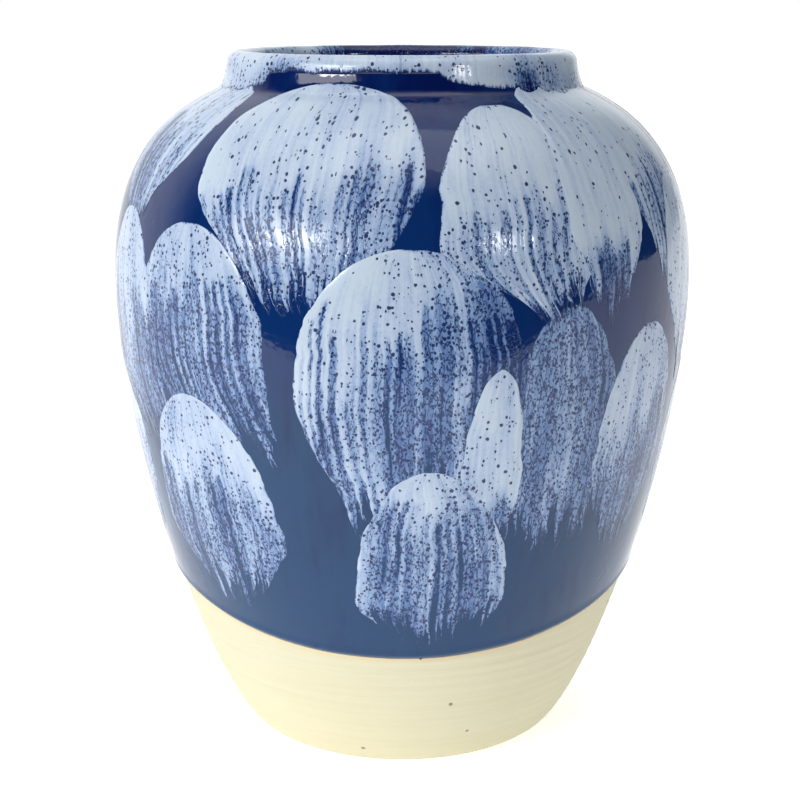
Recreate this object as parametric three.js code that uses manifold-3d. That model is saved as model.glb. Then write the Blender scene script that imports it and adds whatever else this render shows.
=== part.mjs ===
// Thrown stoneware vase, millimetres, +Z up, origin at the middle of the standing face.
// The front faces -Y. An azimuth of 0 is the front, and it grows towards +X.
//
// One fired pot made of separate layers: the clay body, the cobalt glaze coat on its outside,
// the liner glaze on its inside, the white glaze band on its lip, and the brushed strokes of
// white glaze, each a thin raised petal on the cobalt coat.

import * as THREE from 'three';
import { mergeVertices } from 'three/addons/utils/BufferGeometryUtils.js';
import Module from 'manifold-3d';

const wasm = await Module();
wasm.setup();

// ---------------------------------------------------------------- driving dimensions

const height = 190; // standing face to the crest of the glazed lip
const footRadius = 43.5; // outer edge of the standing ring
const footFlare = 16.5; // how far the foot's edge keeps its flare
const footFlareAngle = 51; // degrees that the flare leans out from upright
const bellyRadius = 78.8; // clay surface at the widest place
const shoulderRise = 51; // belly to the base of the neck
const neckBaseRadius = 49.3;
const neckRadius = 46.6; // clay surface just under the lip
const neckLength = 10.5; // base of the neck to the crest of the lip
const lowerFullness = 0.355; // share of the belly's height that stays near upright below it
const upperFullness = 0.79; // the same above the belly, as a share of shoulderRise
const shoulderReach = 7.8; // how far the shoulder runs straight into the neck
const shoulderSlope = 30; // degrees above level there

const wall = 5.2; // clay wall
const lipWall = 4; // clay wall at the lip
const floorThickness = 8;
const floorCorner = 9; // radius where the inside wall turns into the floor
const ringWidth = 7; // width of the standing ring
const ringDepth = 2.2; // how deep the base is hollowed inside the ring
const ringEdge = 1.2; // rounding of the ring's edges

const layerGap = 0.3; // clearance between two layers that touch
const coatThickness = 0.6; // cobalt glaze coat
const linerThickness = 0.5;
const strokeThickness = 0.6; // white glaze of one brush stroke
const bandHeight = 4.2; // how far the lip's white band comes down, from the crest
const glazeLineLow = 37.5; // lower edge of the cobalt coat at the front, where it sags
const glazeLineHigh = 54; // the same edge at the back
const glazeLineSag = 2.2; // how narrow the sag is

const turnSegments = 36; // facets round the vase
const wallSteps = 6; // facets up the wall below the belly, and again above it
const neckSteps = 2;
const lipSteps = 4; // facets over the lip
const cornerSteps = 4; // facets round the floor's corner
const strokeSteps = 4; // facets along each curve of a stroke's outline

// ---------------------------------------------------------------- the strokes

// Each stroke is a petal: a round cap, sides that narrow, and a tail that leans sideways.
// azimuth in degrees; drop is from the lip's crest down to the cap; length, left, right, tail
// (half width) and lean in mm; widest is a share of the length. Later strokes lie over
// earlier ones.
const frontStrokes = [
  {
    name: 'stroke_left_edge_low', azimuth: -76, drop: 76,
    length: 62, left: 16, right: 16, tail: 8, lean: 3, widest: 0.45,
  },
  {
    name: 'stroke_right_edge_low', azimuth: 80, drop: 82,
    length: 55, left: 16, right: 14, tail: 8, lean: -2, widest: 0.45,
  },
  {
    name: 'stroke_right_dull', azimuth: 31, drop: 58,
    length: 70, left: 15, right: 17, tail: 13, lean: 0, widest: 0.45,
  },
  {
    name: 'stroke_right_neck', azimuth: 60, drop: 4.5,
    length: 57, left: 15, right: 17, tail: 6, lean: 0, widest: 0.42,
  },
  {
    name: 'stroke_upper_right', azimuth: 24, drop: 12.5,
    length: 52, left: 23.5, right: 20, tail: 7, lean: 6, widest: 0.6,
  },
  {
    name: 'stroke_right_tongue', azimuth: 41, drop: 6.5,
    length: 60, left: 13, right: 13, tail: 8, lean: 1, widest: 0.55,
  },
  {
    name: 'stroke_right_edge_high', azimuth: 72, drop: 30,
    length: 62, left: 18, right: 15, tail: 7, lean: 0, widest: 0.4,
  },
  {
    name: 'stroke_left_neck', azimuth: -66, drop: 5,
    length: 41, left: 18, right: 20, tail: 8, lean: 3, widest: 0.4,
  },
  {
    name: 'stroke_left_inner', azimuth: -43, drop: 40,
    length: 66, left: 20, right: 25, tail: 12, lean: 14, widest: 0.45,
  },
  {
    name: 'stroke_left_outer', azimuth: -66, drop: 39,
    length: 66, left: 15, right: 20, tail: 8, lean: 12, widest: 0.55,
  },
  {
    name: 'stroke_upper_left', azimuth: -20, drop: 7,
    length: 56, left: 28.5, right: 29.5, tail: 14, lean: 4, widest: 0.4,
  },
  {
    name: 'stroke_right_low', azimuth: 53, drop: 66,
    length: 65, left: 17.5, right: 17, tail: 9, lean: -2, widest: 0.5,
  },
  {
    name: 'stroke_centre', azimuth: 1, drop: 43.5,
    length: 84, left: 27.5, right: 29.5, tail: 15, lean: 2, widest: 0.38,
  },
  {
    name: 'stroke_centre_wedge', azimuth: 18, drop: 72.5,
    length: 50, left: 9.5, right: 6.5, tail: 6, lean: -1, widest: 0.55,
  },
  {
    name: 'stroke_left_low', azimuth: -44, drop: 83,
    length: 61, left: 20, right: 24.5, tail: 11, lean: 5, widest: 0.6,
  },
  {
    name: 'stroke_centre_low', azimuth: 5, drop: 98,
    length: 53, left: 18, right: 21, tail: 13, lean: 1, widest: 0.66,
  },
];

// The back carries the same three rows of petals, each row half a step round from the one above.
const backRows = [
  { row: 'high', firstAzimuth: 100, drop: 9, length: 54, half: 27, widest: 0.38 },
  { row: 'middle', firstAzimuth: 117, drop: 46, length: 68, half: 25, widest: 0.42 },
  { row: 'low', firstAzimuth: 109, drop: 84, length: 52, half: 20, widest: 0.5 },
];
const backStep = 36; // degrees between the strokes of one row
const backCount = 5;

function backStrokes() {
  const strokes = [];
  for (const { row, firstAzimuth, drop, length, half, widest } of backRows) {
    for (let i = 0; i < backCount; i++) {
      const sway = Math.sin(1.7 * i + drop);
      strokes.push({
        name: `stroke_back_${row}_${i + 1}`,
        azimuth: firstAzimuth + backStep * i + 3 * sway,
        drop: drop + 2.5 * sway,
        length: length - 4 * sway,
        left: half + sway,
        right: half - sway,
        tail: 11,
        lean: 5 * Math.sin(2.3 * i + drop),
        widest,
      });
    }
  }
  return strokes;
}

// ---------------------------------------------------------------- the wall's outline

const radians = THREE.MathUtils.degToRad;

// The clay's outer line from the foot to just under the lip, as points (radius, height).
function outerLine() {
  const lipTop = height - layerGap - coatThickness;
  const neckBase = new THREE.Vector2(neckBaseRadius, height - neckLength);
  const belly = new THREE.Vector2(bellyRadius, neckBase.y - shoulderRise);
  const foot = new THREE.Vector2(footRadius, 0);
  const flare = new THREE.Vector2(
    footRadius + footFlare * Math.sin(radians(footFlareAngle)),
    footFlare * Math.cos(radians(footFlareAngle)),
  );
  const belowBelly = new THREE.Vector2(bellyRadius, belly.y * (1 - lowerFullness));
  const aboveBelly = new THREE.Vector2(bellyRadius, belly.y + shoulderRise * upperFullness);
  const intoNeck = new THREE.Vector2(
    neckBase.x + shoulderReach * Math.cos(radians(shoulderSlope)),
    neckBase.y - shoulderReach * Math.sin(radians(shoulderSlope)),
  );
  const underLip = new THREE.Vector2(neckRadius, lipTop - lipWall / 2);
  const neckHollow = new THREE.Vector2(
    (neckBase.x + 2 * neckRadius) / 3,
    neckBase.y + neckLength / 9,
  );
  const lower = new THREE.CubicBezierCurve(foot, flare, belowBelly, belly);
  const upper = new THREE.CubicBezierCurve(belly, aboveBelly, intoNeck, neckBase);
  const neck = new THREE.QuadraticBezierCurve(neckBase, neckHollow, underLip);
  return [
    ...lower.getPoints(wallSteps),
    ...upper.getPoints(wallSteps).slice(1),
    ...neck.getPoints(neckSteps).slice(1),
  ];
}

// The same line moved out by a distance, square to itself.
function offsetLine(line, distance) {
  return line.map((point, i) => {
    const before = line[Math.max(i - 1, 0)];
    const after = line[Math.min(i + 1, line.length - 1)];
    const along = after.clone().sub(before).normalize();
    return new THREE.Vector2(point.x + along.y * distance, point.y - along.x * distance);
  });
}

// A round lip over the end of a wall: points from the outer side over the crest to the inner.
function lipArc(centre, radius, steps) {
  const points = [];
  for (let i = 0; i <= steps; i++) {
    const turn = (Math.PI * i) / steps;
    points.push(new THREE.Vector2(
      centre.x + radius * Math.cos(turn),
      centre.y + radius * Math.sin(turn),
    ));
  }
  return points;
}

const clayLine = outerLine();
const lipRadius = lipWall / 2;
const lipCentre = new THREE.Vector2(
  neckRadius - lipRadius,
  clayLine[clayLine.length - 1].y,
);

// The line's points below a height, ending at that height.
function lineUpTo(line, top) {
  const next = line.findIndex((point) => point.y > top);
  if (next < 0) return line;
  const share = (top - line[next - 1].y) / (line[next].y - line[next - 1].y);
  return [...line.slice(0, next), line[next - 1].clone().lerp(line[next], share)];
}

// The clay's inner line, or a line inside it by a depth, from a height down to the floor.
function innerLine(depth, top) {
  const bottom = floorThickness + depth;
  const side = offsetLine(clayLine, -wall - depth)
    .filter((point) => point.y > bottom + floorCorner && point.y < lipCentre.y - lipWall)
    .reverse();
  const underLip = new THREE.Vector2(neckRadius - lipWall - depth, top);
  const lowest = side[side.length - 1];
  const corner = new THREE.Vector2(lowest.x - (lowest.y - bottom) * 0.6, bottom);
  const end = new THREE.Vector2(corner.x - floorCorner, bottom);
  const turn = new THREE.QuadraticBezierCurve(lowest, corner, end);
  return [underLip, ...side, ...turn.getPoints(cornerSteps).slice(1)];
}

// ---------------------------------------------------------------- solids

function solidOf(geometry) {
  const bare = geometry.clone();
  bare.deleteAttribute('normal');
  bare.deleteAttribute('uv');
  const merged = mergeVertices(bare, 1e-4);
  const corners = merged.index.array;
  const kept = [];
  for (let i = 0; i < corners.length; i += 3) {
    const [a, b, c] = [corners[i], corners[i + 1], corners[i + 2]];
    if (a !== b && b !== c && c !== a) kept.push(a, b, c);
  }
  return new wasm.Manifold(new wasm.Mesh({
    numProp: 3,
    vertProperties: Float32Array.from(merged.attributes.position.array),
    triVerts: Uint32Array.from(kept),
  }));
}

// A profile turned round the vase's axis.
function turned(profile) {
  const geometry = new THREE.LatheGeometry(profile, turnSegments);
  geometry.rotateX(Math.PI / 2);
  return solidOf(geometry);
}

// A skin between two distances outside the clay, from the foot up to a height.
function skin(inner, outer, top) {
  const base = lineUpTo(clayLine, top).filter((point) => point.y > ringEdge);
  const inside = offsetLine(base, inner);
  const outside = offsetLine(base, outer);
  return turned([...outside, ...inside.reverse(), outside[0].clone()]);
}

// How high the coat's lower edge runs in the direction of a point: it sags at the front.
function glazeLine(x, y) {
  const forward = x === 0 && y === 0 ? 0 : -y / Math.hypot(x, y);
  const dip = Math.max(0, (1 + forward) / 2) ** glazeLineSag;
  return glazeLineHigh - (glazeLineHigh - glazeLineLow) * dip;
}

// Everything under that edge, lifted by a clearance.
function underGlazeLine(lift) {
  const [core, reach] = [neckRadius / 4, bellyRadius * 2];
  const geometry = new THREE.LatheGeometry([
    new THREE.Vector2(0, -height),
    new THREE.Vector2(reach, -height),
    new THREE.Vector2(reach, 0),
    new THREE.Vector2(core, 0),
    new THREE.Vector2(0, 0),
  ], turnSegments);
  geometry.rotateX(Math.PI / 2);
  const position = geometry.attributes.position;
  for (let i = 0; i < position.count; i++) {
    const onTop = position.getZ(i) > -height / 2;
    if (onTop) position.setZ(i, glazeLine(position.getX(i), position.getY(i)) + lift);
  }
  return solidOf(geometry);
}

// A stroke's outline, cap at the top, grown by a clearance.
function petal({ length, left, right, tail, lean, widest }, grow) {
  const middle = -length * widest;
  const end = -length - grow;
  const [leftSide, rightSide] = [-left - grow, right + grow];
  const [leftTail, rightTail] = [lean - tail - grow, lean + tail + grow];
  const round = 0.55;
  const shape = new THREE.Shape();
  shape.moveTo(0, grow);
  shape.bezierCurveTo(rightSide * round, grow, rightSide, middle * (1 - round), rightSide, middle);
  shape.bezierCurveTo(
    rightSide, middle + (end - middle) * 0.4,
    rightTail, middle + (end - middle) * 0.75,
    rightTail, middle + (end - middle) * 0.94,
  );
  shape.bezierCurveTo(rightTail, end, leftTail, end, leftTail, middle + (end - middle) * 0.94);
  shape.bezierCurveTo(
    leftTail, middle + (end - middle) * 0.75,
    leftSide, middle + (end - middle) * 0.4,
    leftSide, middle,
  );
  shape.bezierCurveTo(leftSide, middle * (1 - round), leftSide * round, grow, 0, grow);
  return shape;
}

// The petal's prism, standing out from the axis in the stroke's own direction.
function prism(stroke, grow) {
  const geometry = new THREE.ExtrudeGeometry(petal(stroke, grow), {
    depth: bellyRadius * 2,
    bevelEnabled: false,
    curveSegments: strokeSteps,
  });
  geometry.translate(0, height - stroke.drop, neckRadius / 4);
  geometry.rotateX(Math.PI / 2);
  geometry.rotateZ(radians(stroke.azimuth));
  return solidOf(geometry);
}

// Where later strokes cut a stroke in two, its largest part is the one that shows.
function largestPart(solid) {
  const parts = solid.decompose();
  return parts.reduce((best, part) => (part.volume() > best.volume() ? part : best));
}

// ---------------------------------------------------------------- the parts

function stonewareBody() {
  const ringInner = footRadius - ringWidth;
  return turned([
    new THREE.Vector2(0, ringDepth),
    new THREE.Vector2(ringInner - ringDepth, ringDepth),
    new THREE.Vector2(ringInner, 0),
    new THREE.Vector2(footRadius - ringEdge, 0),
    new THREE.Vector2(footRadius + ringEdge / 2, ringEdge),
    ...clayLine.filter((point) => point.y > 2 * ringEdge),
    ...lipArc(lipCentre, lipRadius, lipSteps).slice(1),
    ...innerLine(0, lipCentre.y).slice(1),
    new THREE.Vector2(0, floorThickness),
  ]);
}

function cobaltCoat(top) {
  const coat = skin(layerGap, layerGap + coatThickness, top);
  return coat.subtract(underGlazeLine(0));
}

function linerGlaze(top) {
  const near = innerLine(layerGap, top);
  const far = innerLine(layerGap + linerThickness, top).reverse();
  const axisNear = new THREE.Vector2(0, floorThickness + layerGap);
  const axisFar = new THREE.Vector2(0, floorThickness + layerGap + linerThickness);
  return turned([axisNear, ...near.reverse(), ...far.reverse(), axisFar]);
}

function lipBand() {
  const inner = lipArc(lipCentre, lipRadius + layerGap, lipSteps);
  const outer = lipArc(lipCentre, lipRadius + layerGap + coatThickness, lipSteps);
  const skirt = bandHeight - lipRadius - layerGap - coatThickness;
  const outSkirt = outer[0].clone().setY(lipCentre.y - skirt);
  const inSkirt = inner[0].clone().setY(lipCentre.y - skirt);
  return turned([outSkirt, ...outer, ...inner.reverse(), inSkirt, outSkirt.clone()]);
}

// ---------------------------------------------------------------- the group

const finishes = {
  clay: { color: 0xe6dcc0, roughness: 0.85 },
  cobalt: { color: 0x06164f, roughness: 0.08 },
  liner: { color: 0x6f7f8c, roughness: 0.12 },
  white: { color: 0xc3d0de, roughness: 0.16 },
};

const group = new THREE.Group();

function addPart(name, solid, finish) {
  const { vertProperties, triVerts } = solid.getMesh();
  const geometry = new THREE.BufferGeometry();
  geometry.setAttribute('position', new THREE.BufferAttribute(vertProperties, 3));
  geometry.setIndex(new THREE.BufferAttribute(triVerts, 1));
  geometry.computeVertexNormals();
  const material = new THREE.MeshStandardMaterial({ ...finishes[finish], metalness: 0 });
  const mesh = new THREE.Mesh(geometry, material);
  mesh.name = name;
  group.add(mesh);
}

const coatTop = height - bandHeight - layerGap;
addPart('stoneware_body', stonewareBody(), 'clay');
addPart('cobalt_glaze_coat', cobaltCoat(coatTop), 'cobalt');
addPart('liner_glaze', linerGlaze(coatTop), 'liner');
addPart('lip_white_band', lipBand(), 'white');

const strokeBottom = 2 * layerGap + coatThickness;
const strokeSkin = skin(strokeBottom, strokeBottom + strokeThickness, coatTop)
  .subtract(underGlazeLine(layerGap));
const strokes = [...backStrokes(), ...frontStrokes];
const covers = strokes.map((stroke) => prism(stroke, layerGap));
strokes.forEach((stroke, i) => {
  let solid = strokeSkin.intersect(prism(stroke, 0));
  for (let later = i + 1; later < strokes.length; later++) {
    solid = solid.subtract(covers[later]);
  }
  addPart(stroke.name, largestPart(solid), 'white');
});

export default group;
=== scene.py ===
"""Looks of the stoneware vase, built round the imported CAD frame.

Shapes are worked out in millimetres, with +Z up, the front facing -Y and azimuths growing
towards +X, and turned into metres when a mesh is made.
"""
import math

import bpy
import numpy as np
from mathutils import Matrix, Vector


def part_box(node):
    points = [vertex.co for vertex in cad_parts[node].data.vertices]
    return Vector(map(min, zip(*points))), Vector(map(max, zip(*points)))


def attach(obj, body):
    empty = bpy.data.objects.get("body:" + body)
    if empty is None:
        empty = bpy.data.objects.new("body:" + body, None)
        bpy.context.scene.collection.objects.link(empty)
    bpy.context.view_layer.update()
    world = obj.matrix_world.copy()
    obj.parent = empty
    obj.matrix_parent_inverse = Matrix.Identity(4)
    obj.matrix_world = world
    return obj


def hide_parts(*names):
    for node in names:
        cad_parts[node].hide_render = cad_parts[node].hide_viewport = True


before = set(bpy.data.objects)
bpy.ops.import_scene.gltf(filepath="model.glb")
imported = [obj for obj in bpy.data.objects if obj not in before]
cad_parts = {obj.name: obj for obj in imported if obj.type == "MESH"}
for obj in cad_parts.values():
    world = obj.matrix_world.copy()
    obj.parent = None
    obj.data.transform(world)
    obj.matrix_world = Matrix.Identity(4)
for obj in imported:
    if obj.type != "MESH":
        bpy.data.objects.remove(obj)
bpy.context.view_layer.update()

MM = 0.001


def node_box(node):
    """Lowest and highest corner of a CAD node, in millimetres."""
    low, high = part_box(node)
    return np.array(low) / MM, np.array(high) / MM


# ---------------------------------------------------------------- sizes

HEIGHT = node_box("lip_white_band")[1][2]
BELLY_RADIUS = node_box("stoneware_body")[1][0]
SHOULDER_RISE = 51.0
NECK_LENGTH = 10.5
NECK_BASE_RADIUS = 49.3
NECK_RADIUS = 46.6
FOOT_RADIUS = 43.5
FOOT_FLARE = 16.5
FOOT_FLARE_ANGLE = math.radians(51)
LOWER_FULLNESS = 0.355
UPPER_FULLNESS = 0.79
SHOULDER_REACH = 7.8
SHOULDER_SLOPE = math.radians(30)
LIP_WALL = 4.0
WALL = 5.2
FLOOR_THICKNESS = 8.0
RING_INNER = 36.5
RING_DEPTH = 2.2

GLAZE_GAP = 0.12  # between the clay and the back of the glaze
COAT = 0.9  # front of the cobalt coat, from the clay
GLAZE_LINE_LOW = node_box("cobalt_glaze_coat")[0][2]
GLAZE_LINE_HIGH = 54.0
GLAZE_LINE_SAG = 2.2  # how narrowly it dips at the front
GLAZE_LINE_WAVE = 0.9
GLAZE_LINE_RISE = 0.3  # keeps the waves above the CAD coat's lowest point

# ---------------------------------------------------------------- smooth noise


LATTICE = 256  # cells after which the noise repeats
RING_CENTRE = 100  # where ring_noise walks round on that plane
LAYER_SEED = 101  # how far apart the seeds of two of its layers are


def lattice(seed):
    return np.random.default_rng(abs(seed)).random((LATTICE, LATTICE))


def noise(x, y, seed):
    """Value noise between 0 and 1 on a plane, one lump per unit."""
    x, y = np.broadcast_arrays(np.asarray(x, float), np.asarray(y, float))
    table = lattice(seed)
    column, row = np.floor(x).astype(int), np.floor(y).astype(int)
    fx, fy = x - column, y - row
    fx, fy = fx * fx * (3 - 2 * fx), fy * fy * (3 - 2 * fy)

    def at(dx, dy):
        return table[(column + dx) % LATTICE, (row + dy) % LATTICE]

    low = at(0, 0) * (1 - fx) + at(1, 0) * fx
    high = at(0, 1) * (1 - fx) + at(1, 1) * fx
    return low * (1 - fy) + high * fy


def ring_noise(azimuth, lumps, seed, row=0.0):
    """Noise that closes on itself round the vase, with about this many lumps a turn.

    It changes smoothly from one whole row to the next.
    """
    azimuth, row = np.broadcast_arrays(np.asarray(azimuth, float), np.asarray(row, float))
    reach = lumps / (2 * math.pi)
    x, y = RING_CENTRE + reach * np.cos(azimuth), RING_CENTRE + reach * np.sin(azimuth)
    below = np.floor(row)
    share = row - below
    share = share * share * (3 - 2 * share)
    value = np.zeros(azimuth.shape)
    for layer in np.unique(below):
        here = below == layer
        low = noise(x[here], y[here], seed + LAYER_SEED * int(layer))
        high = noise(x[here], y[here], seed + LAYER_SEED * (int(layer) + 1))
        value[here] = low * (1 - share[here]) + high * share[here]
    return value


def step(low, high, value):
    """Smooth rise from 0 to 1 between two values."""
    t = np.clip((value - low) / (high - low), 0, 1)
    return t * t * (3 - 2 * t)


def blend(a, b, share):
    """a where the share is 0, b where it is 1."""
    return a + (b - a) * share


# ---------------------------------------------------------------- the wall's outline

LOWER_POINTS, UPPER_POINTS, NECK_POINTS = 240, 200, 40
NORMAL_EASINGS = 12  # passes that ease the corner where the neck meets the shoulder


def bezier(points, count):
    """Points on the Bezier curve of these control points."""
    t = np.linspace(0, 1, count)[:, None]
    points = [np.array(p, float)[None] * np.ones_like(t) for p in points]
    while len(points) > 1:
        points = [blend(a, b, t) for a, b in zip(points, points[1:])]
    return points[0]


def clay_line():
    """The clay's outer line from foot to lip, as the CAD part draws it: (radius, height)."""
    neck_base = (NECK_BASE_RADIUS, HEIGHT - NECK_LENGTH)
    belly = (BELLY_RADIUS, neck_base[1] - SHOULDER_RISE)
    lip_side = (NECK_RADIUS, HEIGHT - GLAZE_GAP - COAT - LIP_WALL / 2)
    lower = bezier(
        [
            (FOOT_RADIUS, 0),
            (
                FOOT_RADIUS + FOOT_FLARE * math.sin(FOOT_FLARE_ANGLE),
                FOOT_FLARE * math.cos(FOOT_FLARE_ANGLE),
            ),
            (BELLY_RADIUS, belly[1] * (1 - LOWER_FULLNESS)),
            belly,
        ],
        LOWER_POINTS,
    )
    upper = bezier(
        [
            belly,
            (BELLY_RADIUS, belly[1] + SHOULDER_RISE * UPPER_FULLNESS),
            (
                neck_base[0] + SHOULDER_REACH * math.cos(SHOULDER_SLOPE),
                neck_base[1] - SHOULDER_REACH * math.sin(SHOULDER_SLOPE),
            ),
            neck_base,
        ],
        UPPER_POINTS,
    )
    neck_hollow = (
        (neck_base[0] + 2 * NECK_RADIUS) / 3,
        neck_base[1] + NECK_LENGTH / 9,
    )
    neck = bezier([neck_base, neck_hollow, lip_side], NECK_POINTS)
    return np.vstack([lower, upper[1:], neck[1:]])


LINE = clay_line()
TANGENT = np.gradient(LINE, axis=0)
TANGENT /= np.linalg.norm(TANGENT, axis=1)[:, None]
NORMAL = np.stack([TANGENT[:, 1], -TANGENT[:, 0]], axis=1)
for _ in range(NORMAL_EASINGS):
    NORMAL[1:-1] = (NORMAL[:-2] + 2 * NORMAL[1:-1] + NORMAL[2:]) / 4
NORMAL /= np.linalg.norm(NORMAL, axis=1)[:, None]
LIP_TOP = LINE[-1, 1]  # where the lip's round begins
LIP_CENTRE = NECK_RADIUS - LIP_WALL / 2


def run_along(line):
    """Distance walked along a line of points, from its first one."""
    return np.concatenate([[0], np.cumsum(np.linalg.norm(np.diff(line, axis=0), axis=1))])


def wall_radius(height):
    return np.interp(height, LINE[:, 1], LINE[:, 0])


def on_wall(azimuth, height, lift):
    """Points a distance outside the clay, square to the wall, at these clay heights."""
    radius = wall_radius(height) + np.interp(height, LINE[:, 1], NORMAL[:, 0]) * lift
    z = height + np.interp(height, LINE[:, 1], NORMAL[:, 1]) * lift
    return around(azimuth, radius, z)


def around(azimuth, radius, z):
    """Points at these azimuths, distances from the axis and heights."""
    azimuth, radius, z = np.broadcast_arrays(azimuth, radius, z)
    return np.stack([radius * np.sin(azimuth), -radius * np.cos(azimuth), z], axis=-1)


def glaze_line(azimuth):
    """Height of the coat's lower edge, which sags at the front."""
    dip = ((1 + np.cos(azimuth)) / 2) ** GLAZE_LINE_SAG
    wave = ring_noise(azimuth, 9, 41) - 0.5 + 0.3 * (ring_noise(azimuth, 40, 42) - 0.5)
    line = blend(GLAZE_LINE_HIGH, GLAZE_LINE_LOW, dip)
    return line + GLAZE_LINE_WAVE * wave + GLAZE_LINE_RISE


# ---------------------------------------------------------------- meshes


def grid_faces(rows, columns, wrap_rows=False, wrap_columns=False):
    """Four-sided faces of a grid of points."""
    r = np.arange(rows if wrap_rows else rows - 1)[:, None]
    c = np.arange(columns if wrap_columns else columns - 1)[None]
    r2, c2 = (r + 1) % rows, (c + 1) % columns
    corners = [r * columns + c, r * columns + c2, r2 * columns + c2, r2 * columns + c]
    return np.stack(np.broadcast_arrays(*corners), axis=-1).reshape(-1, 4)


def make_mesh(name, points, faces, node, material, fields):
    """A smooth-shaded piece from points in millimetres, standing for one CAD node.

    fields holds numbers or vectors per point, for the material to read.
    """
    mesh = bpy.data.meshes.new(name)
    points = points.reshape(-1, 3) * MM
    mesh.vertices.add(len(points))
    mesh.vertices.foreach_set("co", points.astype(np.float32).ravel())
    mesh.loops.add(faces.size)
    mesh.loops.foreach_set("vertex_index", faces.astype(np.int32).ravel())
    mesh.polygons.add(len(faces))
    mesh.polygons.foreach_set(
        "loop_start", np.arange(0, faces.size, faces.shape[1], dtype=np.int32)
    )
    mesh.polygons.foreach_set("use_smooth", np.ones(len(faces), bool))
    for field, values in fields.items():
        values = np.asarray(values, np.float32)
        kind, key = ("FLOAT_VECTOR", "vector") if values.ndim > 1 else ("FLOAT", "value")
        mesh.attributes.new(field, kind, "POINT").data.foreach_set(key, values.ravel())
    mesh.update(calc_edges=True)
    mesh.validate()
    piece = bpy.data.objects.new(name, mesh)
    bpy.context.scene.collection.objects.link(piece)
    piece.data.materials.append(material)
    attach(piece, "root")
    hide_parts(node)


def disc_faces(columns, offset):
    """Four-sided faces across the disc inside one ring of points."""
    i = np.arange(columns // 2 - 1)
    return np.stack([i, i + 1, columns - 2 - i, columns - 1 - i], axis=1) + offset


def make_turned(name, rings, node, material, fields, closed=True):
    """A piece from rings of points (rows, columns, 3), lowest outside first.

    The last ring joins the first if closed. If not, a small disc fills each of them.
    """
    rows, columns = rings.shape[:2]
    faces = grid_faces(rows, columns, wrap_rows=closed, wrap_columns=True)
    if not closed:
        first = disc_faces(columns, 0)[:, ::-1]
        last = disc_faces(columns, (rows - 1) * columns)
        faces = np.concatenate([faces, first, last])
    fields = {
        field: np.asarray(values).reshape(rows * columns, -1).squeeze()
        for field, values in fields.items()
    }
    make_mesh(name, rings, faces, node, material, fields)


# ---------------------------------------------------------------- shader helpers


class Nodes:
    """A node tree, written as nested calls that each give an output socket."""

    def __init__(self, owner):
        owner.use_nodes = True
        self.tree = owner.node_tree
        self.tree.nodes.clear()

    def node(self, kind, settings=None, out=0, **inputs):
        """A new node's output socket of this number, or the node itself if out is None."""
        made = self.tree.nodes.new(kind)
        for key, value in (settings or {}).items():
            setattr(made, key, value)
        for key, value in inputs.items():
            self.set(made, key.replace("_", " "), value)
        return made.outputs[out] if out is not None else made

    def set(self, made, key, value):
        """Links or sets an input, found by its name or by its number written as text."""
        socket = made.inputs[int(key) if key.isdigit() else key]
        if isinstance(value, bpy.types.NodeSocket):
            self.tree.links.new(value, socket)
        else:
            socket.default_value = value

    def math(self, operation, a, b=0.0, c=0.0, clamp=False):
        made = self.tree.nodes.new("ShaderNodeMath")
        made.operation, made.use_clamp = operation, clamp
        for i, value in enumerate((a, b, c)):
            self.set(made, str(i), value)
        return made.outputs[0]

    def ramp(self, value, low, high, start=0.0, end=1.0):
        """Eases from start to end as the value goes from low to high."""
        made = self.tree.nodes.new("ShaderNodeMapRange")
        made.interpolation_type = "SMOOTHSTEP"
        for key, given in zip(
            ("Value", "From Min", "From Max", "To Min", "To Max"),
            (value, low, high, start, end),
        ):
            self.set(made, key, given)
        return made.outputs[0]


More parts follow.
